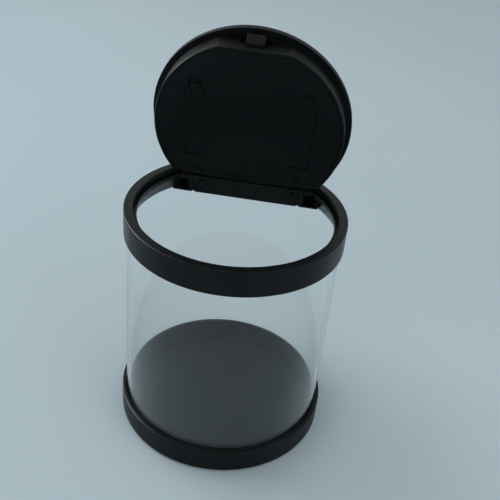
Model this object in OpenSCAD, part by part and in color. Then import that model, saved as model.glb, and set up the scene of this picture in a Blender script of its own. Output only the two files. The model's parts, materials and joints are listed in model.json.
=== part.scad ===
// Timed lock container: a clear round jar in a black base cup, with a black collar at its mouth.
// The D-shaped lid swings on two hinge pins, drops flush into the collar, and holds the timer:
// a display, three buttons, two battery bays, and a gear motor that slides the latch.
// The origin is at the centre of the underside. +Z is up, and the hinge is at +Y.

/* [Jar] */
// Outer radius of the clear tube
tube_r = 71; // [60:0.5:85]
// Wall of the clear tube
tube_wall = 2.5; // [1.8:0.1:3.5]
// Height of the whole container with the lid shut
body_h = 168; // [120:1:220]
// Gap between the tube and the rims that hold it
tube_fit = 0.1; // [0.05:0.05:0.3]

/* [Base cup] */
// Height of the base cup's outer rim
base_h = 17.2; // [12:0.2:30]
// Thickness of the base cup's outer rim
base_rim = 2.9; // [2:0.1:5]
// Thickness of the base cup's floor
base_floor = 3; // [2.4:0.1:5]
// Height of the inner ring that centres the tube
base_ring_h = 4.2; // [3:0.1:8]
// Thickness of the inner ring
base_ring_t = 2; // [1.5:0.1:4]
// Height that the rubber feet stand out
foot_h = 0.8; // [0.5:0.1:2]
// Radius of a rubber foot
foot_r = 7; // [5:0.5:10]
// Depth of the recess that holds a foot
foot_recess = 1; // [0.6:0.1:1.4]

/* [Collar] */
// Height of the collar
collar_h = 17.6; // [16.5:0.1:24]
// Thickness of the collar's skirt outside the tube
skirt_t = 1.9; // [1.4:0.1:4]
// Width of the collar's top face
rim_w = 6; // [5.6:0.1:7]
// Width of the ledge under the lid's flange
ledge_w = 2.4; // [1.6:0.1:3.2]
// Thickness of the ledge
ledge_t = 3; // [2:0.1:4]
// Radius of the collar's rounded top edge
edge_r = 0.6; // [0.3:0.1:1.2]

/* [Lid] */
// Thickness of the lid's flange
flange_t = 4.3; // [3.8:0.1:5]
// Gap round the lid's flange
lid_gap = 0.8; // [0.4:0.1:1.2]
// Gap between the flange and the ledge when shut
seat_gap = 0.2; // [0.1:0.05:0.5]
// Gap between the ledge and the lid's plug
plug_gap = 2.2; // [1.8:0.1:3]
// Depth of the plug below the ledge
plug_depth = 13.4; // [13.2:0.1:15]
// Wall of the plug
plug_wall = 2; // [1.5:0.1:2.4]
// Thickness of the lid's top plate
top_t = 2; // [1.6:0.1:2.4]
// Thickness of the inner cover
cover_t = 2; // [1.6:0.1:2.4]
// Gap round the inner cover
cover_gap = 0.25; // [0.15:0.05:0.4]
// How far the plug's front is cut flat
flat_cut = 4.3; // [3.6:0.1:5]
// Angle that the lid stands open
open_angle = 81; // [0:1:88]

/* [Hinge] */
// Distance from the hinge axis to the back of the collar
hinge_setback = 25.1; // [24:0.1:27]
// Radius of the lid's hinge barrel
barrel_r = 3; // [2.6:0.1:3.4]
// Radius of a hinge pin
pin_r = 1.25; // [1:0.05:1.5]
// Length of a hinge pin
pin_l = 16; // [14:0.5:17]
// Running clearance of a pin in the barrel
pin_run = 0.05; // [0.02:0.01:0.1]
// Gap between the barrel and its trough
barrel_gap = 0.3; // [0.2:0.05:0.5]
// Distance from the hinge axis to the back of the plug
chord_setback = 11; // [10:0.5:13]

/* [Latch] */
// Width of the latch bolt
bolt_w = 11.4; // [10:0.2:14]
// Height of the latch bolt
bolt_t = 4.7; // [3.5:0.1:6.5]
// Travel of the latch
latch_travel = 2.5; // [1:0.1:2.6]
// Width of the latch's rack bar
bar_w = 8; // [7:0.2:9]
// Thickness of the latch's rack bar
bar_t = 2.4; // [2:0.1:2.6]
// Module of the rack and pinion
gear_m = 0.5; // [0.45:0.05:0.5]
// Teeth on the pinion
gear_teeth = 12; // [12:1:12]
// Width of the pinion
gear_w = 4.6; // [4:0.1:5]

/* [Timer] */
// Width of the display window
window_w = 38; // [30:1:40]
// Depth of the display window
window_d = 18; // [12:1:20]
// Radius of a push button
button_r = 5; // [4:0.1:5.4]
// Distance between the buttons
button_pitch = 16; // [14.5:0.5:17]
// Travel of a button
button_travel = 0.6; // [0.3:0.1:0.6]
// Height of a button above the lid
button_proud = 0.5; // [0.2:0.1:1]
// Thickness of the circuit board
board_t = 1.6; // [1:0.2:1.6]

/* [Batteries] */
// Radius of a battery cell
cell_r = 5.25; // [5:0.05:5.25]
// Length of a battery cell with its nub
cell_l = 44.5; // [40:0.5:45]
// Distance of a cell's axis from the lid's middle
cell_x = 35.7; // [35:0.1:37]
// Width of a battery bay
bay_w = 12.6; // [12:0.1:13]
// Length of a battery bay
bay_l = 50.8; // [50:0.1:52]

/* [Hidden] */
$fn = 96;
tiny = 0.01;
close_gap = 0.3;      // gap of pieces that move past each other or only lie near

// Radii of the jar and its rims
tube_in = tube_r - tube_wall;
collar_r = tube_r + tube_fit + skirt_t;
base_r = tube_r + tube_fit + base_rim;
seat_r = tube_in - tube_fit;
rebate_r = collar_r - rim_w;
ledge_r = rebate_r - ledge_w;
flange_r = rebate_r - lid_gap;
plug_r = ledge_r - plug_gap;
plug_in = plug_r - plug_wall;

// Heights
base_z = foot_h;
floor_z = base_z + base_floor;
collar_z = body_h - collar_h;
flange_z = body_h - flange_t;
ledge_z = flange_z - seat_gap;
tube_top = ledge_z - ledge_t;
plug_z = ledge_z - plug_depth;
cover_z = plug_z + cover_t;
ceil_z = body_h - top_t;

// Hinge
hinge_y = collar_r - hinge_setback;
hinge_z = body_h - barrel_r;
trough_r = barrel_r + barrel_gap;
barrel_past = 0.3;
barrel_half = sqrt(flange_r * flange_r - hinge_y * hinge_y) + barrel_past;
trough_end = 0.4;
trough_half = barrel_half + trough_end;
bridge_lip = 0.4;
bridge_y = hinge_y - trough_r - bridge_lip;
bridge_wall = 2;
back_y = hinge_y + trough_r;
pocket_in = 5;
pocket_x = barrel_half - pocket_in;
pocket_wall = 1;
pocket_r = seat_r - pocket_wall;
pin_reach = 6;
pin_outer = barrel_half + pin_reach;
pin_spare = 0.1;
post_w = 2.6;
slot_w = 1.8;
slot_h = 12;
slot_mid = 4.5;
notch_w = 2.4;
notch_in = 8.6;
notch_drop = 3;
deck_t = 2.5;
corner_y = hinge_y - barrel_r - 4 * close_gap;   // the flange's rear corners end here, to swing free
pocket_floor = 1.4;

// Plug outline
chord_y = hinge_y - chord_setback;
flat_y = -(plug_r - flat_cut);

// Latch, from its outer faces inwards
tip_inset = 0.7;
bolt_y = -(ledge_r - tip_inset);
bolt_top = tube_top - close_gap;
bolt_z = bolt_top - bolt_t;
bolt_inset = 0.8;
bolt_end = flat_y + plug_wall + bolt_inset;
shoulder_inset = 1.2;
shoulder_y = -(ledge_r - latch_travel - shoulder_inset);
bar_top = flange_z - close_gap;
bar_z = bar_top - bar_t;
rack_inset = 10.6;
rack_y = flat_y + rack_inset;
rack_half = 4.7;
rack_clear = 0.15;
rack_add = 0.6 * gear_m;
pitch_r = gear_m * gear_teeth / 2;
pitch_z = bar_z - gear_m - rack_clear;
pinion_z = pitch_z - pitch_r;
gear_backlash = 0.12;
pressure = 20;
bar_tail = 6.5;
bar_end = rack_y + bar_tail;
rail_inset = 1.6;
rail_y = flat_y + plug_wall + rail_inset;
rail_t = 1.2;
pinion_room = 0.7;
slot_half = gear_w / 2 + pinion_room;
mouth_half = 10;
mouth_h = 4.6;

// Motor
shaft_r = 1.5;
shaft_run = 0.05;
gearbox_x = bar_w / 2 + close_gap + rail_t + 0.4;
gearbox_l = 9;
spring_l = 8.9;
spring_play = 0.1;
spring_turns = 8;
spring_r = 1.4;
spring_wire = 0.3;
spring_seat = bar_end + spring_l + spring_play;
seat_half = 3.2;
seat_t = 1.2;
can_l = 10;
shaft_seat = 6;
shaft_past = 0.4;
motor_w = 12;
motor_h = 10;

// Timer parts
board_drop = 5.4;
board_top = ceil_z - board_drop;
board_w = 53;
board_gap = 17;
board_y0 = rack_y + board_gap;
board_back = 6.9;
board_y1 = chord_y - board_back;
button_inset = 6.5;
button_y = board_y0 + button_inset;
button_flange = 0.8;
button_brim = 1;
button_edge = 0.4;
button_run = 0.25;
switch_w = 6;
plunger_h = 0.5;
plunger_r = 1.75;
press_spare = 0.1;
press_room = close_gap + button_flange + button_travel + press_spare;
switch_h = board_drop - press_room - plunger_h;
display_shift = 4.25;
display_y = (board_y0 + board_y1) / 2 + display_shift;
module_rim = 3;
buzzer_inset = 6;
buzzer_y = board_y1 - buzzer_inset;
window_corner = 1.5;
lens_corner = 3;
lens_edge = 4;
lens_t = 1.5;
lens_gap = 0.1;
post_r = 2;
post_screw_r = 0.85;
post_screw_l = 4;
post_bore_r = 0.9;
post_bore_l = 5.6;
board_hole_r = 1;
post_inset = 3;
post_x = board_w / 2 - post_inset;
post_gap = 18.5;
post_y0 = board_y0 + post_gap;
post_back = 4;
post_y1 = board_y1 - post_back;
posts = [[-post_x, post_y0], [post_x, post_y0], [-post_x, post_y1], [post_x, post_y1]];

// Batteries
bay_y = -3;
bay_wall = 1.2;
door_axis_z = plug_z + cover_t / 2;
door_r = cover_t / 2;
cell_z = cover_z + close_gap + cell_r;
bay_top = cell_z + cell_r + close_gap;
bay_roof = 1;
stub_r = 0.6;
stub_l = 1;
contact_t = 0.4;
contact_side = 1.3;
stub_fit = 0.05;
stub_room = 0.2;
cell_coil_r = 3.2;
cell_coil_tip = 1.8;
cell_coil_wire = 0.35;
cell_coil_turns = 4;
coil_steps = 12;

// Screws that hold the inner cover
screw_x = 28;
screw_front = 7.5;
screw_y0 = rack_y + screw_front;
screw_back = 7.2;
screw_y1 = chord_y - screw_back;
screws = [[-screw_x, screw_y0], [screw_x, screw_y0], [-cell_x, screw_y1], [cell_x, screw_y1]];
screw_l = 11.5;
boss_r = 3.2;
screw_cup = 3.5;
screw_head_r = 2.7;
screw_r = 1.15;
screw_fit = 0.05;
screw_pass = 0.15;
screw_tip = 1.5;
head_sink = 2;
head_room = 0.3;

black = [0.09, 0.09, 0.10];
dark = [0.15, 0.16, 0.16];
steel = [0.75, 0.76, 0.78];

// A rectangle with round corners, centred
module round_rect(w, d, r) {
    square([w - 2 * r, d], center = true);
    square([w, d - 2 * r], center = true);
    for (x = [-1, 1], y = [-1, 1]) {
        translate([x * (w / 2 - r), y * (d / 2 - r)]) circle(r, $fn = 32);
    }
}

// A disc cut straight at the back and at the front
module d_outline(r, back, front) {
    intersection() {
        circle(r);
        translate([-r - 1, front]) square([2 * r + 2, back - front]);
    }
}

// A ring from r0 to r1, from z0 to z1
module ring(r0, r1, z0, z1) {
    translate([0, 0, z0]) {
        difference() {
            cylinder(r = r1, h = z1 - z0);
            translate([0, 0, -1]) cylinder(r = r0, h = z1 - z0 + 2);
        }
    }
}

// A disc whose top or bottom outer edge is rounded
module soft_disc(r, h, e, top) {
    rotate_extrude() {
        square([r - e, h]);
        translate([0, top ? 0 : e]) square([r, h - e]);
        intersection() {
            translate([r - e, top ? h - e : e]) circle(e, $fn = 32);
            square([r, h]);
        }
    }
}

// A box from its low corner to its high corner
module span(a, b) {
    translate(a) cube(b - a);
}

// A cylinder along X from x0 to x1
module rod_x(r, x0, x1, y, z) {
    translate([x0, y, z]) rotate([0, 90, 0]) cylinder(r = r, h = x1 - x0);
}

// Swings the lid's pieces from shut to the angle at which they stand
module lid_open() {
    translate([0, hinge_y, hinge_z]) {
        rotate([-open_angle, 0, 0]) translate([0, -hinge_y, -hinge_z]) children();
    }
}

// One unbroken helical wire along Z
function coil_ring(p, dir, r, n) =
    [for (k = [0 : n - 1]) p + r * (cos(360 * k / n) * dir[0] + sin(360 * k / n) * dir[1])];

module coil(r0, r1, h, turns, wire_r, steps = 14, sides = 6) {
    count = round(turns * steps);
    rings = [for (i = [0 : count])
        let (a = 360 * i / steps, t = i / count, r = r0 + (r1 - r0) * t)
        coil_ring([r * cos(a), r * sin(a), wire_r + (h - 2 * wire_r) * t],
                  [[cos(a), sin(a), 0], [0, 0, 1]], wire_r, sides)];
    points = [for (ring = rings) each ring];
    side_faces = [for (i = [0 : count - 1], k = [0 : sides - 1])
        let (a = i * sides + k, b = i * sides + (k + 1) % sides)
        each [[a, b, b + sides], [a, b + sides, a + sides]]];
    first = [for (k = [0 : sides - 1]) sides - 1 - k];
    last = [for (k = [0 : sides - 1]) count * sides + k];
    polyhedron(points, concat(side_faces, [first, last]));
}

// Involute pinion outline, with a tooth pointing along +Y
function involute(rb, r) = let (t = sqrt(max(0, r * r / (rb * rb) - 1))) t * 180 / PI - atan(t);

module pinion_outline() {
    rb = pitch_r * cos(pressure);
    tip = pitch_r + gear_m;
    root = pitch_r - rack_add - rack_clear;
    half = 90 / gear_teeth - gear_backlash / 2 / pitch_r * 180 / PI + involute(rb, pitch_r);
    radii = [for (k = [0 : 4]) rb + (tip - rb) * k / 4];
    flank = [for (r = radii) [r, half - involute(rb, r)]];
    tooth = concat([[root, half]], flank);
    points = [for (n = [0 : gear_teeth - 1])
        let (mid = 90 + 360 * n / gear_teeth)
        each concat(
            [for (p = tooth) p[0] * [cos(mid - p[1]), sin(mid - p[1])]],
            [for (k = [len(tooth) - 1 : -1 : 0])
                tooth[k][0] * [cos(mid + tooth[k][1]), sin(mid + tooth[k][1])]])];
    polygon(points);
}

module tube() {
    color([0.85, 0.9, 0.92, 0.25]) ring(tube_in, tube_r, floor_z, tube_top);
}

module base_cup() {
    chamfer = 1;
    inner_bevel = 0.5;
    foot_fit = 0.1;
    recess = 0.8;
    rim_top = base_z + base_h;
    groove_in = seat_r - base_ring_t;
    color(black) difference() {
        rotate_extrude() polygon([
            [0, base_z], [base_r - chamfer, base_z], [base_r, base_z + chamfer],
            [base_r, rim_top - edge_r], [base_r - edge_r, rim_top],
            [tube_r + tube_fit + inner_bevel, rim_top], [tube_r + tube_fit, rim_top - inner_bevel],
            [tube_r + tube_fit, floor_z], [seat_r, floor_z],
            [seat_r, floor_z + base_ring_h], [groove_in, floor_z + base_ring_h],
            [groove_in, floor_z], [0, floor_z]
        ]);
        for (a = [45 : 90 : 315]) {
            rotate([0, 0, a]) translate([tube_in - 2 * foot_r, 0, base_z - 1]) {
                cylinder(r = foot_r + foot_fit, h = foot_recess + 1);
            }
        }
        translate([0, 0, base_z - 1]) cylinder(r = tube_in - 4 * foot_r, h = recess + 1);
    }
}

module base_feet() {
    lip_out = 2;
    lip_in = 3;
    lip_depth = 0.3;
    color([0.05, 0.05, 0.05]) for (a = [45 : 90 : 315]) {
        rotate([0, 0, a]) translate([tube_in - 2 * foot_r, 0, 0]) {
            difference() {
                cylinder(r = foot_r, h = foot_h + foot_recess);
                translate([0, 0, -1]) ring(foot_r - lip_in, foot_r - lip_out, 0, lip_depth + 1);
            }
        }
    }
}

// The straight hinge bridge at the collar's back, solid, up to the ledge and the fixed rear deck
module bridge_solid() {
    intersection() {
        union() {
            span([-seat_r, bridge_y, collar_z], [seat_r, collar_r, ledge_z]);
            span([-seat_r, back_y, ledge_z - 1], [seat_r, collar_r, body_h]);
        }
        union() {
            translate([0, 0, collar_z]) cylinder(r = seat_r, h = tube_top - collar_z);
            translate([0, 0, tube_top]) cylinder(r = rebate_r + 1, h = body_h - tube_top);
        }
    }
}

// The space inside the bridge, open underneath, between its stiffening ribs
module bridge_hollow() {
    hollow_x = pocket_x - post_w;
    rib_t = 1.6;
    difference() {
        intersection() {
            union() {
                span([-hollow_x, bridge_y + bridge_wall, collar_z - 1], [hollow_x, collar_r, tube_top]);
                span([-hollow_x, back_y + bridge_wall, collar_z - 1],
                     [hollow_x, collar_r, body_h - deck_t]);
            }
            translate([0, 0, collar_z - 1]) cylinder(r = pocket_r, h = collar_h + 1);
        }
        for (x = [-0.28, 0.28] * hollow_x * 2) {
            span([x - rib_t / 2, bridge_y, collar_z], [x + rib_t / 2, collar_r, body_h]);
        }
    }
}

module collar() {
    color(black) difference() {
        union() {
            difference() {
                translate([0, 0, collar_z]) soft_disc(collar_r, collar_h, edge_r, true);
                translate([0, 0, ledge_z]) cylinder(r = rebate_r, h = flange_t + 1);
                translate([0, 0, collar_z]) cylinder(r = ledge_r, h = collar_h + 2);
                translate([0, 0, collar_z - 1]) {
                    cylinder(r = tube_r + tube_fit, h = tube_top - collar_z + 1);
                }
            }
            bridge_solid();
        }
        bridge_hollow();
        // Trough for the barrel, open at the top
        rod_x(trough_r, -trough_half, trough_half, hinge_y, hinge_z);
        span([-trough_half, hinge_y - trough_r, hinge_z], [trough_half, back_y, body_h + 1]);
        // Pockets, blind slots and small recesses at the ends of the bridge
        for (s = [-1, 1]) {
            intersection() {
                span([s > 0 ? pocket_x : -collar_r, bridge_y - 5, collar_z + pocket_floor],
                     [s > 0 ? collar_r : -pocket_x, back_y, tube_top - close_gap]);
                translate([0, 0, collar_z - 1]) cylinder(r = pocket_r, h = collar_h);
            }
            translate([s * (pocket_x - post_w - slot_w / 2), bridge_y, collar_z + slot_mid]) {
                cube([slot_w, 2 * bridge_wall - 1, slot_h], center = true);
            }
            translate([s * (pocket_x - notch_in), bridge_y, ledge_z - notch_drop]) {
                cube([notch_w, 2 * bridge_wall - 1, notch_w], center = true);
            }
            rod_x(pin_r, min(s * pocket_x, s * (pin_outer + pin_spare)),
                  max(s * pocket_x, s * (pin_outer + pin_spare)), hinge_y, hinge_z);
        }
    }
}

module hinge_pins() {
    color(steel) for (s = [-1, 1]) {
        rod_x(pin_r, min(s * (pin_outer - pin_l), s * pin_outer),
              max(s * (pin_outer - pin_l), s * pin_outer), hinge_y, hinge_z);
    }
}

// Guide rails that hang from the lid's top plate and carry the latch's rack bar
module latch_rails() {
    outer = bar_w / 2 + close_gap + rail_t;
    difference() {
        span([-outer, rail_y, bar_z - close_gap - rail_t], [outer, bar_end - 1, ceil_z + tiny]);
        span([-bar_w / 2 - close_gap, rail_y - 1, bar_z - close_gap],
             [bar_w / 2 + close_gap, bar_end, bar_top + close_gap]);
        span([-slot_half, rail_y - 1, bar_z - 5], [slot_half, bar_end, bar_z]);
    }
}

module lid_cover() {
    color(black) lid_open() {
        difference() {
            union() {
                difference() {
                    union() {
                        intersection() {
                            translate([0, 0, flange_z]) soft_disc(flange_r, flange_t, edge_r, true);
                            union() {
                                span([-collar_r, -collar_r, flange_z], [collar_r, corner_y, body_h]);
                                span([-barrel_half, 0, flange_z], [barrel_half, hinge_y, body_h]);
                            }
                        }
                        intersection() {
                            translate([0, 0, plug_z]) {
                                soft_disc(plug_r, flange_z - plug_z + 1, edge_r, false);
                            }
                            span([-plug_r, flat_y, plug_z], [plug_r, chord_y, flange_z + 1]);
                        }
                        rod_x(barrel_r, -barrel_half, barrel_half, hinge_y, hinge_z);
                    }
                    translate([0, 0, plug_z - 1]) linear_extrude(ceil_z - plug_z + 1) {
                        d_outline(plug_in, chord_y - plug_wall, flat_y + plug_wall);
                    }
                }
                latch_rails();
                for (p = screws) {
                    translate([p[0], p[1], plug_z + screw_cup]) {
                        cylinder(r = boss_r, h = ceil_z - plug_z - screw_cup + tiny);
                    }
                }
                for (p = posts) {
                    translate([p[0], p[1], board_top]) {
                        cylinder(r = post_r, h = ceil_z - board_top + tiny);
                    }
                }
                // Seat of the latch spring
                span([-seat_half, spring_seat, bar_z - 1],
                     [seat_half, spring_seat + seat_t, ceil_z + tiny]);
            }
            for (p = screws) {
                translate([p[0], p[1], plug_z]) {
                    cylinder(r = screw_r + screw_fit, h = screw_l + screw_tip);
                }
            }
            for (p = posts) {
                translate([p[0], p[1], board_top - 1]) {
                    cylinder(r = post_bore_r, h = post_bore_l, $fn = 24);
                }
            }
            // Bores for the hinge pins
            for (s = [-1, 1]) {
                rod_x(pin_r + pin_run, min(s * (pin_outer - pin_l - close_gap), s * (barrel_half + 1)),
                      max(s * (pin_outer - pin_l - close_gap), s * (barrel_half + 1)), hinge_y, hinge_z);
            }
            // Mouth in the front wall for the rack bar and the bolt
            span([-mouth_half, flat_y - 1, flange_z - mouth_h],
                 [mouth_half, flat_y + plug_wall + tiny, flange_z]);
            span([-bolt_w / 2 - close_gap, flat_y - 1, bolt_z - close_gap],
                 [bolt_w / 2 + close_gap, flat_y + plug_wall + tiny, flange_z]);
            // Display window with its ledge for the lens
            translate([0, display_y, ceil_z - 1]) linear_extrude(top_t + 2) {
                round_rect(window_w, window_d, window_corner);
            }
            translate([0, display_y, body_h - lens_t]) linear_extrude(lens_t + 1) {
                round_rect(window_w + 2 * lens_edge, window_d + 2 * lens_edge, lens_corner);
            }
            for (k = [-1 : 1]) {
                translate([k * button_pitch, button_y, ceil_z - 1]) {
                    cylinder(r = button_r + button_run, h = top_t + 2);
                }
            }
        }
    }
}

// Outline of one battery bay's opening in the inner cover, on side s
module bay_space(s, grow, z0, z1) {
    span([s * cell_x - bay_w / 2 - grow, bay_y - bay_l / 2 - grow, z0],
         [s * cell_x + bay_w / 2 + grow, bay_y + bay_l / 2 + grow, z1]);
}

door_axis_y = bay_y + bay_l / 2 - close_gap - door_r;
thumb_w = 8.2;
thumb_l = 6.2;
thumb_depth = 1.3;

module lid_inner_cover() {
    color(black) lid_open() difference() {
        union() {
            translate([0, 0, plug_z]) linear_extrude(cover_t) {
                d_outline(plug_in - cover_gap, chord_y - plug_wall - cover_gap,
                          flat_y + plug_wall + cover_gap);
            }
            for (s = [-1, 1]) bay_space(s, bay_wall, cover_z - tiny, bay_top + bay_roof);
            for (p = screws) {
                translate([p[0], p[1], plug_z]) cylinder(r = boss_r + 1, h = screw_cup);
            }
        }
        for (s = [-1, 1]) {
            bay_space(s, 0, plug_z - 1, bay_top);
            // Thumb recess in front of the door
            span([s * cell_x - thumb_w / 2, bay_y - bay_l / 2 - thumb_l, plug_z - 1],
                 [s * cell_x + thumb_w / 2, bay_y - bay_l / 2 + tiny, plug_z + thumb_depth]);
            // Blind holes for the door's stubs
            rod_x(stub_r + stub_fit, s * cell_x - bay_w / 2 - stub_l - stub_room,
                  s * cell_x + bay_w / 2 + stub_l + stub_room, door_axis_y, door_axis_z, $fn = 32);
        }
        for (p = screws) {
            translate([p[0], p[1], plug_z - 1]) {
                cylinder(r = screw_head_r + head_room, h = head_sink + 1);
            }
            translate([p[0], p[1], plug_z]) cylinder(r = screw_r + screw_pass, h = screw_cup + 1);
        }
    }
}

module battery_door(s) {
    half = bay_w / 2 - close_gap;
    front = bay_y - bay_l / 2 + close_gap;
    tongue_w = 6;
    tongue_l = 3;
    tongue_gap = 0.2;
    rib_pitch = 1.6;
    rib_w = 0.6;
    rib_depth = 0.3;
    color(black) lid_open() translate([s * cell_x, 0, 0]) {
        difference() {
            union() {
                span([-half, front, plug_z], [half, door_axis_y, cover_z]);
                rod_x(door_r, -half, half, door_axis_y, door_axis_z);
                rod_x(stub_r, -bay_w / 2 - stub_l, bay_w / 2 + stub_l, door_axis_y, door_axis_z, $fn = 32);
                span([-tongue_w / 2, front - tongue_l, plug_z + tongue_gap],
                     [tongue_w / 2, front + 1, plug_z + thumb_depth - tongue_gap]);
            }
            // Finger ribs: shallow grooves near the front end
            for (k = [1 : 3]) {
                span([-tongue_w / 2, front + rib_pitch * k, plug_z - 1],
                     [tongue_w / 2, front + rib_pitch * k + rib_w, plug_z + rib_depth]);
            }
        }
    }
}

module battery_door_left() {
    battery_door(-1);
}

module battery_door_right() {
    battery_door(1);
}

// Turns a battery piece end for end in the left bay, as the cells lie in turn
module in_bay(s) {
    lid_open() translate([s * cell_x, bay_y, cell_z]) rotate([0, 0, s < 0 ? 180 : 0]) children();
}

cell_end = bay_l / 2 - contact_t - close_gap;

module battery(s) {
    nub_l = 0.8;
    nub_r = 1.9;
    nub_root = 0.1;
    in_bay(s) {
        color([0.12, 0.3, 0.55]) translate([0, cell_end, 0]) rotate([90, 0, 0]) {
            cylinder(r = nub_r, h = nub_l + nub_root);
            translate([0, 0, nub_l]) cylinder(r = cell_r, h = cell_l - nub_l);
        }
    }
}

module battery_left() {
    battery(-1);
}

module battery_right() {
    battery(1);
}

module battery_contacts() {
    contact_h = 8;
    color(steel) for (s = [-1, 1]) in_bay(s) {
        for (e = [-1, 1]) {
            translate([0, e * (bay_l / 2 - contact_t / 2), 0]) {
                cube([bay_w - 2 * contact_side, contact_t, contact_h], center = true);
            }
        }
    }
}

module battery_springs() {
    length = bay_l - 2 * contact_t - 2 * close_gap - cell_l;
    color(steel) for (s = [-1, 1]) in_bay(s) {
        translate([0, contact_t - bay_l / 2, 0]) rotate([-90, 0, 0]) {
            coil(cell_coil_r, cell_coil_tip, length, cell_coil_turns, cell_coil_wire, coil_steps);
        }
    }
}

module lid_screws() {
    head_h = 1.6;
    head_z = plug_z + head_sink - head_h;
    drive_w = 3;
    drive_t = 0.7;
    color(steel) lid_open() for (p = screws) {
        translate([p[0], p[1], head_z]) difference() {
            union() {
                cylinder(r = screw_head_r, h = head_h);
                cylinder(r = screw_r, h = screw_l);
            }
            for (a = [0, 90]) rotate([0, 0, a]) cube([drive_w, drive_t, head_h], center = true);
        }
    }
}

module display_lens() {
    rim = lens_edge - lens_gap;
    color([0.1, 0.12, 0.13, 0.6]) lid_open() {
        translate([0, display_y, body_h - lens_t]) linear_extrude(lens_t) {
            round_rect(window_w + 2 * rim, window_d + 2 * rim, lens_corner);
        }
    }
}

module display_module() {
    glass_t = 1.2;
    glass_gap = 0.7;
    corner = 1;
    top = body_h - lens_t - glass_gap;
    color([0.55, 0.6, 0.55]) lid_open() translate([0, display_y, 0]) {
        translate([0, 0, board_top]) linear_extrude(top - glass_t - board_top) {
            round_rect(window_w + 2 * module_rim, window_d + 2 * module_rim, corner);
        }
        translate([0, 0, top - glass_t - tiny]) linear_extrude(glass_t + tiny) {
            square([window_w + module_rim, window_d + module_rim], center = true);
        }
    }
}

module circuit_board() {
    chip_h = 1.2;
    chip_w = 8;
    chip_x = -8;
    chip_y = 0;
    driver_w = 5;
    driver_x = 8.5;
    driver_y = -11.5;
    color([0.05, 0.3, 0.15]) lid_open() {
        difference() {
            span([-board_w / 2, board_y0, board_top - board_t], [board_w / 2, board_y1, board_top]);
            for (p = posts) {
                translate([p[0], p[1], board_top - board_t - 1]) {
                    cylinder(r = board_hole_r, h = board_t + 2, $fn = 24);
                }
            }
        }
        // Controller chip and motor driver on the underside
        translate([chip_x, chip_y, board_top - board_t - chip_h]) {
            translate([-chip_w / 2, -chip_w / 2, 0]) cube([chip_w, chip_w, chip_h + tiny]);
        }
        translate([driver_x, driver_y, board_top - board_t - chip_h]) {
            translate([-driver_w / 2, -driver_w / 2, 0]) cube([driver_w, driver_w, chip_h + tiny]);
        }
    }
}

module board_screws() {
    head_h = 1.1;
    head_r = 1.8;
    color(steel) lid_open() for (p = posts) {
        translate([p[0], p[1], board_top - board_t - head_h]) {
            cylinder(r = head_r, h = head_h, $fn = 32);
            cylinder(r = post_screw_r, h = head_h + board_t + post_screw_l, $fn = 24);
        }
    }
}

module button_switches() {
    color(dark) lid_open() for (k = [-1 : 1]) {
        translate([k * button_pitch, button_y, board_top]) {
            translate([-switch_w / 2, -switch_w / 2, 0]) cube([switch_w, switch_w, switch_h]);
            cylinder(r = plunger_r, h = switch_h + plunger_h);
        }
    }
}

module buzzer() {
    buzzer_r = 4.5;
    buzzer_h = 4;
    port_r = 1;
    port_depth = 1;
    color(dark) lid_open() translate([0, buzzer_y, board_top]) {
        difference() {
            cylinder(r = buzzer_r, h = buzzer_h);
            translate([0, 0, buzzer_h - port_depth]) cylinder(r = port_r, h = port_depth + 1);
        }
    }
}

module button(k) {
    color(dark) lid_open() translate([k * button_pitch, button_y, 0]) {
        translate([0, 0, ceil_z - close_gap - button_flange]) {
            cylinder(r = button_r + button_brim, h = button_flange);
            soft_disc(button_r, button_flange + close_gap + top_t + button_proud, button_edge, true);
        }
    }
}

module button_up() {
    button(-1);
}

module button_down() {
    button(0);
}

module button_lock() {
    button(1);
}

module gear_motor() {
    color(steel) lid_open() translate([gearbox_x, rack_y, pinion_z]) {
        difference() {
            union() {
                translate([0, -motor_w / 2, -motor_h / 2]) cube([gearbox_l, motor_w, motor_h]);
                intersection() {
                    rod_x(motor_w / 2, gearbox_l - tiny, gearbox_l + can_l, 0, 0);
                    translate([gearbox_l - 1, -motor_w, -motor_h / 2]) {
                        cube([can_l + 2, 2 * motor_w, motor_h]);
                    }
                }
            }
            rod_x(shaft_r + shaft_run, -1, shaft_seat, 0, 0);
        }
    }
}

module motor_shaft() {
    color(steel) lid_open() {
        rod_x(shaft_r, -gear_w / 2 - shaft_past, gearbox_x + shaft_seat - close_gap, rack_y, pinion_z);
    }
}

module drive_pinion() {
    color("white") lid_open() translate([-gear_w / 2, rack_y, pinion_z]) {
        rotate([90, 0, 90]) linear_extrude(gear_w) difference() {
            pinion_outline();
            circle(shaft_r);
        }
    }
}

// Teeth of the rack, hanging from the bar's underside, with a space over the pinion's top tooth
module rack_teeth() {
    pitch = PI * gear_m;
    slope = tan(pressure);
    half = pitch / 4 - gear_backlash / 2;
    root_drop = bar_z - pitch_z;
    count = floor(rack_half / pitch);
    translate([-gear_w / 2, rack_y, 0]) rotate([90, 0, 90]) linear_extrude(gear_w) {
        for (k = [-count : count - 1]) translate([(k + 0.5) * pitch, pitch_z]) {
            polygon([
                [-half + rack_add * slope, -rack_add], [half - rack_add * slope, -rack_add],
                [half + root_drop * slope, root_drop + tiny], [-half - root_drop * slope, root_drop + tiny]
            ]);
        }
    }
}

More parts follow.
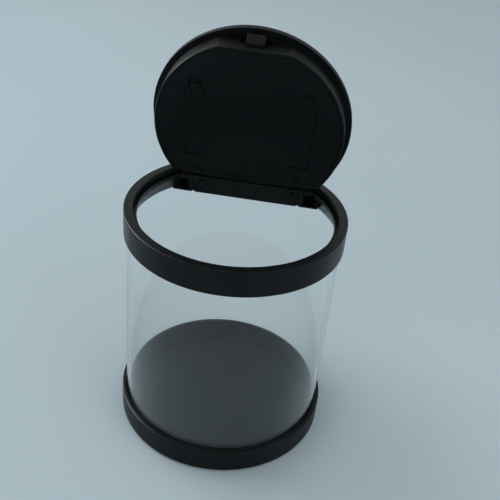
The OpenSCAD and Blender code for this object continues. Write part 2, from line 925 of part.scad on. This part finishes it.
module latch_slide() {
    tip_h = 0.8;
    bevel = bolt_t - tip_h;
    color(dark) lid_open() {
        // Bolt, bevelled underneath so that the closing lid pushes it in
        translate([-bolt_w / 2, 0, 0]) rotate([90, 0, 90]) linear_extrude(bolt_w) polygon([
            [bolt_end, bolt_z], [bolt_y + bevel, bolt_z], [bolt_y, bolt_z + bevel], [bolt_y, bolt_top],
            [shoulder_y, bolt_top], [shoulder_y, bar_top], [bolt_end, bar_top]
        ]);
        // Rack bar and the tail that the spring pushes on
        span([-bar_w / 2, bolt_end - tiny, bar_z], [bar_w / 2, bar_end, bar_top]);
        rack_teeth();
    }
}

module latch_spring() {
    color(steel) lid_open() translate([0, bar_end, bar_z + bar_t / 2]) rotate([-90, 0, 0]) {
        coil(spring_r, spring_r, spring_l, spring_turns, spring_wire, coil_steps);
    }
}

tube();
base_cup();
base_feet();
collar();
hinge_pins();
lid_cover();
lid_inner_cover();
lid_screws();
display_lens();
display_module();
circuit_board();
board_screws();
button_switches();
buzzer();
button_up();
button_down();
button_lock();
gear_motor();
motor_shaft();
drive_pinion();
latch_slide();
latch_spring();
battery_left();
battery_right();
battery_contacts();
battery_springs();
battery_door_left();
battery_door_right();
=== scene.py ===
"""Looks of the timed lock container: materials, small moulded details, floor, light and camera."""

import json
from math import cos, pi, radians, sin

import bmesh
import bpy
from mathutils import Matrix, Vector


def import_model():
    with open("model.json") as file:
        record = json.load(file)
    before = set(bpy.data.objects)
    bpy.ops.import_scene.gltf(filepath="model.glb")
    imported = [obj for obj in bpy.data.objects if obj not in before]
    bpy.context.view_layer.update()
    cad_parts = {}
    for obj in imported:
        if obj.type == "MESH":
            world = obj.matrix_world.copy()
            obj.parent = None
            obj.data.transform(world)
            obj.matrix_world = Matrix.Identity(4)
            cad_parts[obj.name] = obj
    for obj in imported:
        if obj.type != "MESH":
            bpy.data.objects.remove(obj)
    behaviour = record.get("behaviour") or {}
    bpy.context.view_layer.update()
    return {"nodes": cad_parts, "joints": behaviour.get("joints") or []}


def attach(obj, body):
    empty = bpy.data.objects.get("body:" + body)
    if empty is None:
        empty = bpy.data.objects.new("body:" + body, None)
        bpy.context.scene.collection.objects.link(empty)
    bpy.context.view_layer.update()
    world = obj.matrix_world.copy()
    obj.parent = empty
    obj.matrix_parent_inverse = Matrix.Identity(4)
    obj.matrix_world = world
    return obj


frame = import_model()

MM = 0.001
nodes = frame["nodes"]
joints = {joint["name"]: joint for joint in frame["joints"]}

# The lid is modelled shut and then swung to the angle at which it stands
HINGE = Vector(joints["lid_hinge"]["pos_m"])
OPEN_ANGLE = radians(joints["lid_hinge"]["range_deg"][1])
LID_OPEN = (
    Matrix.Translation(HINGE)
    @ Matrix.Rotation(-OPEN_ANGLE, 4, "X")
    @ Matrix.Translation(-HINGE)
)
# Height of the shut lid's upper face
LID_TOP = 168 * MM


# ---------------------------------------------------------------- materials

def link(tree, source, output, target, socket):
    tree.links.new(source.outputs[output], target.inputs[socket])


def material(name, colour, roughness, metallic=0.0, specular=0.5):
    """A new material with its Principled shader, and a coordinate node in the object's metres."""
    made = bpy.data.materials.new(name)
    made.use_nodes = True
    shader = made.node_tree.nodes["Principled BSDF"]
    shader.inputs["Base Color"].default_value = (*colour, 1)
    shader.inputs["Roughness"].default_value = roughness
    shader.inputs["Metallic"].default_value = metallic
    shader.inputs["Specular IOR Level"].default_value = specular
    place = made.node_tree.nodes.new("ShaderNodeTexCoord")
    return made, made.node_tree, shader, place


def noise(tree, place, scale, detail=3.0, stretch=(1, 1, 1)):
    """Noise of a given count per metre, which may be stretched along an axis."""
    mapping = tree.nodes.new("ShaderNodeMapping")
    mapping.inputs["Scale"].default_value = stretch
    texture = tree.nodes.new("ShaderNodeTexNoise")
    texture.inputs["Scale"].default_value = scale
    texture.inputs["Detail"].default_value = detail
    link(tree, place, "Object", mapping, "Vector")
    link(tree, mapping, "Vector", texture, "Vector")
    return texture


def ramp(tree, source, output, low, high, start=0.3, end=0.7):
    """Maps a noise to a range of values or colours."""
    node = tree.nodes.new("ShaderNodeValToRGB")
    node.color_ramp.elements[0].position = start
    node.color_ramp.elements[1].position = end
    for element, value in zip(node.color_ramp.elements, (low, high)):
        element.color = (*value, 1) if isinstance(value, tuple) else (value, value, value, 1)
    link(tree, source, output, node, "Fac")
    return node


def bump(tree, shader, height, output, depth, strength=1.0, edge=None):
    """Bump from a height, over an edge that is softened by a small radius."""
    node = tree.nodes.new("ShaderNodeBump")
    node.inputs["Distance"].default_value = depth
    node.inputs["Strength"].default_value = strength
    link(tree, height, output, node, "Height")
    if edge:
        soft = tree.nodes.new("ShaderNodeBevel")
        soft.samples = 6
        soft.inputs["Radius"].default_value = edge
        link(tree, soft, "Normal", node, "Normal")
    link(tree, node, "Normal", shader, "Normal")


def moulded(name, dark, light, roughness, specular=0.5, grain=1400, depth=0.000008, edge=0.0004):
    """Satin moulded plastic: fine spark-eroded grain, cloudy sheen and softened edges."""
    made, tree, shader, place = material(name, dark, roughness, specular=specular)
    clouds = noise(tree, place, scale=28, detail=5)
    tone = ramp(tree, clouds, "Fac", dark, light)
    link(tree, tone, "Color", shader, "Base Color")
    smudges = noise(tree, place, scale=75, detail=6, stretch=(1, 1, 0.5))
    sheen = ramp(tree, smudges, "Fac", roughness - 0.05, roughness + 0.07)
    link(tree, sheen, "Color", shader, "Roughness")
    grained = noise(tree, place, scale=grain, detail=2)
    bump(tree, shader, grained, "Fac", depth, strength=0.5, edge=edge)
    return made


def clear_plastic():
    """Clear moulded tube, with faint handling marks in its gloss."""
    made, tree, shader, place = material("clear_tube", (0.99, 0.995, 0.995), 0.02)
    shader.inputs["Transmission Weight"].default_value = 1.0
    shader.inputs["IOR"].default_value = 1.46
    marks = noise(tree, place, scale=60, detail=6, stretch=(1, 1, 0.15))
    gloss = ramp(tree, marks, "Fac", 0.01, 0.06, start=0.45, end=0.75)
    link(tree, gloss, "Color", shader, "Roughness")
    return made


def metal(name, colour, roughness, stretch=(1, 1, 1), scale=900):
    """Drawn or plated metal with a fine brushed grain."""
    made, tree, shader, place = material(name, colour, roughness, metallic=1.0)
    streaks = noise(tree, place, scale, detail=4, stretch=stretch)
    sheen = ramp(tree, streaks, "Fac", roughness - 0.08, roughness + 0.12)
    link(tree, sheen, "Color", shader, "Roughness")
    bump(tree, shader, streaks, "Fac", depth=0.00001, strength=0.3, edge=0.0002)
    return made


def rubber(name):
    """Matt black rubber with a coarse speckle."""
    made, tree, shader, place = material(name, (0.02, 0.02, 0.021), 0.8, specular=0.3)
    speck = noise(tree, place, scale=700, detail=4)
    tone = ramp(tree, speck, "Fac", (0.014, 0.014, 0.015), (0.034, 0.034, 0.036))
    link(tree, tone, "Color", shader, "Base Color")
    bump(tree, shader, speck, "Fac", depth=0.00006, strength=0.8, edge=0.0003)
    return made


def smoked_lens():
    """Display window: lightly smoked and polished, with the faintest orange peel."""
    made, tree, shader, place = material("smoked_lens", (0.66, 0.69, 0.70), 0.02)
    shader.inputs["Transmission Weight"].default_value = 1.0
    shader.inputs["IOR"].default_value = 1.49
    peel = noise(tree, place, scale=220, detail=2)
    bump(tree, shader, peel, "Fac", depth=0.000008, strength=0.4)
    return made


def display_glass():
    """Liquid crystal glass: grey green, with the fine weave of its polariser."""
    made, tree, shader, place = material("display_glass", (0.46, 0.52, 0.44), 0.22)
    weave = noise(tree, place, scale=2600, detail=1, stretch=(1, 0.08, 1))
    tone = ramp(tree, weave, "Fac", (0.42, 0.48, 0.40), (0.52, 0.58, 0.50))
    link(tree, tone, "Color", shader, "Base Color")
    return made


def board_green():
    """Solder mask over copper tracks, drawn by the edges of cells."""
    made, tree, shader, place = material("solder_mask", (0.01, 0.12, 0.05), 0.3)
    cells = tree.nodes.new("ShaderNodeTexVoronoi")
    cells.feature = "DISTANCE_TO_EDGE"
    cells.inputs["Scale"].default_value = 260
    link(tree, place, "Object", cells, "Vector")
    tone = ramp(tree, cells, "Distance", (0.03, 0.24, 0.10), (0.008, 0.10, 0.04),
                start=0.04, end=0.07)
    link(tree, tone, "Color", shader, "Base Color")
    bump(tree, shader, cells, "Distance", depth=0.00002, strength=0.5)
    return made


def cell_wrap():
    """Shrink sleeve of a battery cell, in one colour with faint wrinkles."""
    made, tree, shader, place = material("cell_wrap", (0.05, 0.14, 0.30), 0.28)
    wrinkles = noise(tree, place, scale=420, detail=3, stretch=(1, 0.2, 0.2))
    tone = ramp(tree, wrinkles, "Fac", (0.04, 0.11, 0.25), (0.07, 0.18, 0.36))
    link(tree, tone, "Color", shader, "Base Color")
    bump(tree, shader, wrinkles, "Fac", depth=0.00003, strength=0.3)
    return made


BLACK = moulded("black_satin", (0.0026, 0.0038, 0.004), (0.0045, 0.006, 0.0064), 0.32, specular=0.15)
BASE_BLACK = moulded("base_black", (0.0024, 0.0042, 0.0045), (0.004, 0.0062, 0.0066), 0.42,
                     specular=0.13, grain=5000, depth=0.0000005)
# The lid's satin black is the collar's plastic made darker: painted shade for the open lid's shaded
# underside, which also darkens the lid's top and the battery doors.
LID_BLACK_SHADED = moulded("lid_black_painted_shade", (0.0016, 0.0026, 0.0028), (0.003, 0.0042, 0.0046), 0.42, specular=0.14)
KEY_GREY = moulded("key_grey", (0.045, 0.047, 0.05), (0.06, 0.062, 0.065), 0.5, grain=1800)
LATCH_GREY = moulded("latch_grey", (0.004, 0.005, 0.0048), (0.0065, 0.0078, 0.0075), 0.45, specular=0.13)
DARK = moulded("dark_plastic", (0.02, 0.02, 0.022), (0.03, 0.03, 0.032), 0.5)
ACETAL = moulded("acetal", (0.62, 0.62, 0.58), (0.70, 0.70, 0.66), 0.4, grain=900)
MARK_WHITE = moulded("mark_white", (0.60, 0.61, 0.61), (0.68, 0.69, 0.69), 0.5, edge=0.0001)
SEGMENT = moulded("display_segment", (0.008, 0.01, 0.008), (0.012, 0.014, 0.012), 0.35, edge=0.00005)
CLEAR = clear_plastic()
STEEL = metal("zinc_steel", (0.60, 0.61, 0.63), 0.28, (1, 6, 6))
SCREW = metal("black_zinc", (0.02, 0.022, 0.023), 0.34)
CAN = metal("motor_can", (0.56, 0.56, 0.57), 0.32, (8, 1, 1))
RUBBER = rubber("foot_rubber")
LENS = smoked_lens()
GLASS = display_glass()
BOARD = board_green()
WRAP = cell_wrap()

NODE_MATERIAL = {
    "tube": CLEAR, "base_cup": BASE_BLACK, "collar": BLACK, "base_feet": RUBBER,
    "hinge_pins": SCREW,
    "lid_cover": LID_BLACK_SHADED, "lid_inner_cover": LID_BLACK_SHADED, "lid_screws": SCREW,
    "display_lens": LENS, "display_module": GLASS, "circuit_board": BOARD,
    "board_screws": STEEL, "button_switches": DARK, "buzzer": DARK,
    "button_up": KEY_GREY, "button_down": KEY_GREY, "button_lock": KEY_GREY,
    "gear_motor": CAN, "motor_shaft": STEEL, "drive_pinion": ACETAL,
    "latch_slide": LATCH_GREY, "latch_spring": STEEL,
    "battery_left": WRAP, "battery_right": WRAP,
    "battery_contacts": STEEL, "battery_springs": STEEL,
    "battery_door_left": LID_BLACK_SHADED, "battery_door_right": LID_BLACK_SHADED,
}
for name, looks in NODE_MATERIAL.items():
    nodes[name].data.materials.clear()
    nodes[name].data.materials.append(looks)


# ---------------------------------------------------------------- small pieces on the lid

def prism(mesh, outline, z0, z1):
    """Adds a closed prism over a flat outline of (x, y) points, in millimetres."""
    low = [mesh.verts.new((x * MM, y * MM, z0)) for x, y in outline]
    high = [mesh.verts.new((x * MM, y * MM, z1)) for x, y in outline]
    count = len(outline)
    mesh.faces.new(list(reversed(low)))
    mesh.faces.new(high)
    for i in range(count):
        j = (i + 1) % count
        mesh.faces.new((low[i], low[j], high[j], high[i]))


def ring_prism(mesh, centre, inner, outer, start, end, z0, z1, steps=20):
    """Adds a closed arc-shaped prism between two radii and two angles in degrees."""
    angles = [radians(start + (end - start) * i / steps) for i in range(steps + 1)]
    x, y = centre
    arc = [(x + outer * cos(a), y + outer * sin(a)) for a in angles]
    arc += [(x + inner * cos(a), y + inner * sin(a)) for a in reversed(angles)]
    prism(mesh, arc, z0, z1)


def lid_piece(name, mesh, looks, body):
    """Turns a mesh that was drawn on the shut lid into a piece that rides on the open one."""
    mesh.transform(LID_OPEN)
    bmesh.ops.recalc_face_normals(mesh, faces=mesh.faces)
    data = bpy.data.meshes.new(name)
    mesh.to_mesh(data)
    mesh.free()
    data.materials.append(looks)
    piece = bpy.data.objects.new(name, data)
    bpy.context.scene.collection.objects.link(piece)
    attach(piece, body)


# Which of the seven segments each digit lights: top, upper left, upper right, middle, lower left,
# lower right, bottom
SEGMENTS = {"0": "1110111", "2": "1011101", "3": "1011011"}
TIME_LEFT = "0230"
# The digits on the plan of the shut lid, in millimetres
DIGIT_X = (-12.2, -4.9, 4.9, 12.2)
DISPLAY_Y = 4
DIGIT_W, DIGIT_H, STROKE = 5.2, 10.5, 1.1
# How far a digit's segments keep from its sides, from its top and bottom, and from each other
SIDE_INSET, END_INSET, TIP_GAP = 0.1, 0.15, 0.5
DOT_R, DOT_Y = 0.7, 2
DIGIT_LOW, DIGIT_HIGH = LID_TOP - 2.18 * MM, LID_TOP - 2.14 * MM


def segment(mesh, x, y, length, upright):
    """One pointed segment of a digit, centred at x, y."""
    tip, half = length / 2, STROKE / 2
    outline = [(-tip, 0), (-tip + half, -half), (tip - half, -half), (tip, 0),
               (tip - half, half), (-tip + half, half)]
    if upright:
        outline = [(-b, a) for a, b in outline]
    prism(mesh, [(x + a, y + b) for a, b in outline], DIGIT_LOW, DIGIT_HIGH)


def display_digits():
    """The time left, as plain segment digits on the display's glass."""
    mesh = bmesh.new()
    reach = DIGIT_H / 2 - END_INSET
    # Where a segment stands: its side, its height, and whether it is upright
    spots = [(0, reach, False), (-1, reach / 2, True), (1, reach / 2, True), (0, 0, False),
             (-1, -reach / 2, True), (1, -reach / 2, True), (0, -reach, False)]
    for digit, x in zip(TIME_LEFT, DIGIT_X):
        for lit, (side, height, upright) in zip(SEGMENTS[digit], spots):
            if lit == "1":
                length = (DIGIT_H / 2 if upright else DIGIT_W) - TIP_GAP
                across = x + side * (DIGIT_W / 2 - SIDE_INSET)
                segment(mesh, across, DISPLAY_Y + height, length, upright)
    for y in (DISPLAY_Y - DOT_Y, DISPLAY_Y + DOT_Y):
        dot = [(cos(a * pi / 8) * DOT_R, y + sin(a * pi / 8) * DOT_R) for a in range(16)]
        prism(mesh, dot, DIGIT_LOW, DIGIT_HIGH)
    lid_piece("display_digits", mesh, SEGMENT, "lid")


BUTTON_Y, BUTTON_PITCH = -24, 16
BUTTON_TOP = LID_TOP + 0.5 * MM
MARK_LOW, MARK_HIGH = BUTTON_TOP - 0.02 * MM, BUTTON_TOP + 0.12 * MM
ARROW_HALF, ARROW_FOOT, ARROW_TIP = 2, 1.2, 2
# The padlock: its body's half width, foot and top, and its shackle's centre and two radii
LOCK_HALF, LOCK_FOOT, LOCK_TOP = 1.9, 2.2, 0.4
SHACKLE_Y, SHACKLE_IN, SHACKLE_OUT = 0.6, 0.8, 1.35


def triangle_mark(name, x, up, body):
    """A plain triangle on a button, which points away from the user or towards them."""
    mesh = bmesh.new()
    side = 1 if up else -1
    foot = BUTTON_Y - side * ARROW_FOOT
    points = [(x - ARROW_HALF, foot), (x + ARROW_HALF, foot), (x, BUTTON_Y + side * ARROW_TIP)]
    prism(mesh, points if up else points[::-1], MARK_LOW, MARK_HIGH)
    lid_piece(name, mesh, MARK_WHITE, body)


def padlock_mark(name, x, body):
    """A plain padlock on a button: a block and a half ring."""
    mesh = bmesh.new()
    left, right = x - LOCK_HALF, x + LOCK_HALF
    foot, top = BUTTON_Y - LOCK_FOOT, BUTTON_Y + LOCK_TOP
    prism(mesh, [(left, foot), (right, foot), (right, top), (left, top)], MARK_LOW, MARK_HIGH)
    ring_prism(mesh, (x, BUTTON_Y + SHACKLE_Y), SHACKLE_IN, SHACKLE_OUT, 0, 180, MARK_LOW, MARK_HIGH)
    lid_piece(name, mesh, MARK_WHITE, body)


display_digits()
triangle_mark("up_mark", -BUTTON_PITCH, True, "up_key")
triangle_mark("down_mark", 0, False, "down_key")
padlock_mark("lock_mark", BUTTON_PITCH, "lock_key")


# ---------------------------------------------------------------- floor, light and camera

# The floor's side, and how far behind the container its middle lies, in metres
FLOOR_SIZE, FLOOR_BACK = 12, 2
# Every light has this colour, and every lamp faces this point
DAYLIGHT = (0.93, 0.97, 1.0)
LAMP_AIM = Vector((0, 0, 0.12))


def floor():
    """A plain pale floor, which the camera sees all over."""
    bpy.ops.mesh.primitive_plane_add(size=FLOOR_SIZE, location=(0, FLOOR_BACK, 0))
    plane = bpy.context.object
    plane.name = "floor"
    made, tree, shader, place = material("floor", (0.45, 0.535, 0.565), 0.75, specular=0.0)
    weave = noise(tree, place, scale=3.0, detail=4)
    tone = ramp(tree, weave, "Fac", (0.442, 0.527, 0.557), (0.458, 0.543, 0.573))
    link(tree, tone, "Color", shader, "Base Color")
    plane.data.materials.append(made)


def soft_light(name, place, width, height, power, gloss_only=False):
    """A soft box that faces the container's middle; one may only show in gloss."""
    data = bpy.data.lights.new(name, "AREA")
    data.shape = "RECTANGLE"
    data.size = width
    data.size_y = height
    data.energy = power
    data.color = DAYLIGHT
    lamp = bpy.data.objects.new(name, data)
    lamp.visible_diffuse = not gloss_only
    bpy.context.scene.collection.objects.link(lamp)
    lamp.location = place
    lamp.rotation_euler = (LAMP_AIM - lamp.location).to_track_quat("-Z", "Y").to_euler()


def world(strength, seen):
    """Even studio light, which is seen in the colour that the floor has far away."""
    made = bpy.data.worlds.new("studio")
    bpy.context.scene.world = made
    made.use_nodes = True
    tree = made.node_tree
    back = tree.nodes["Background"]
    back.inputs["Color"].default_value = (*DAYLIGHT, 1)
    back.inputs["Strength"].default_value = strength
    far = tree.nodes.new("ShaderNodeBackground")
    far.inputs["Color"].default_value = (*seen, 1)
    path = tree.nodes.new("ShaderNodeLightPath")
    direct = tree.nodes.new("ShaderNodeMath")
    direct.operation = "MAXIMUM"
    link(tree, path, "Is Camera Ray", direct, 0)
    link(tree, path, "Is Transmission Ray", direct, 1)
    mixed = tree.nodes.new("ShaderNodeMixShader")
    link(tree, direct, "Value", mixed, "Fac")
    link(tree, back, "Background", mixed, 1)
    link(tree, far, "Background", mixed, 2)
    link(tree, mixed, "Shader", tree.nodes["World Output"], "Surface")


# The photograph's camera: its place in metres, and its turn, tilt and roll in radians
CAMERA_PLACE = Vector((0.04845, -0.42596, 0.41804))
CAMERA_YAW, CAMERA_PITCH, CAMERA_ROLL = 0.0867, 0.5812, -0.1034
CAMERA_LENS = 54.78


def camera():
    """The photograph's camera, made the scene's own."""
    data = bpy.data.cameras.new("photo_camera")
    data.sensor_width = 36
    data.lens = CAMERA_LENS
    data.clip_start = 0.01
    taken = bpy.data.objects.new("photo_camera", data)
    bpy.context.scene.collection.objects.link(taken)
    turn = (
        Matrix.Rotation(CAMERA_YAW, 4, "Z")
        @ Matrix.Rotation(pi / 2 - CAMERA_PITCH, 4, "X")
        @ Matrix.Rotation(-CAMERA_ROLL, 4, "Z")
    )
    taken.matrix_world = Matrix.Translation(CAMERA_PLACE) @ turn
    bpy.context.scene.camera = taken


floor()
world(strength=0.66, seen=(0.290, 0.357, 0.387))
soft_light("key_light", (-1.0, 0.35, 1.35), width=1.0, height=1.0, power=10)
soft_light("window_light", (-1.45, 0.22, 0.62), width=0.9, height=0.2, power=50, gloss_only=True)
soft_light("fill_light", (1.1, -0.7, 0.9), width=1.0, height=1.0, power=3)
camera()

bpy.context.scene.view_settings.view_transform = "Standard"
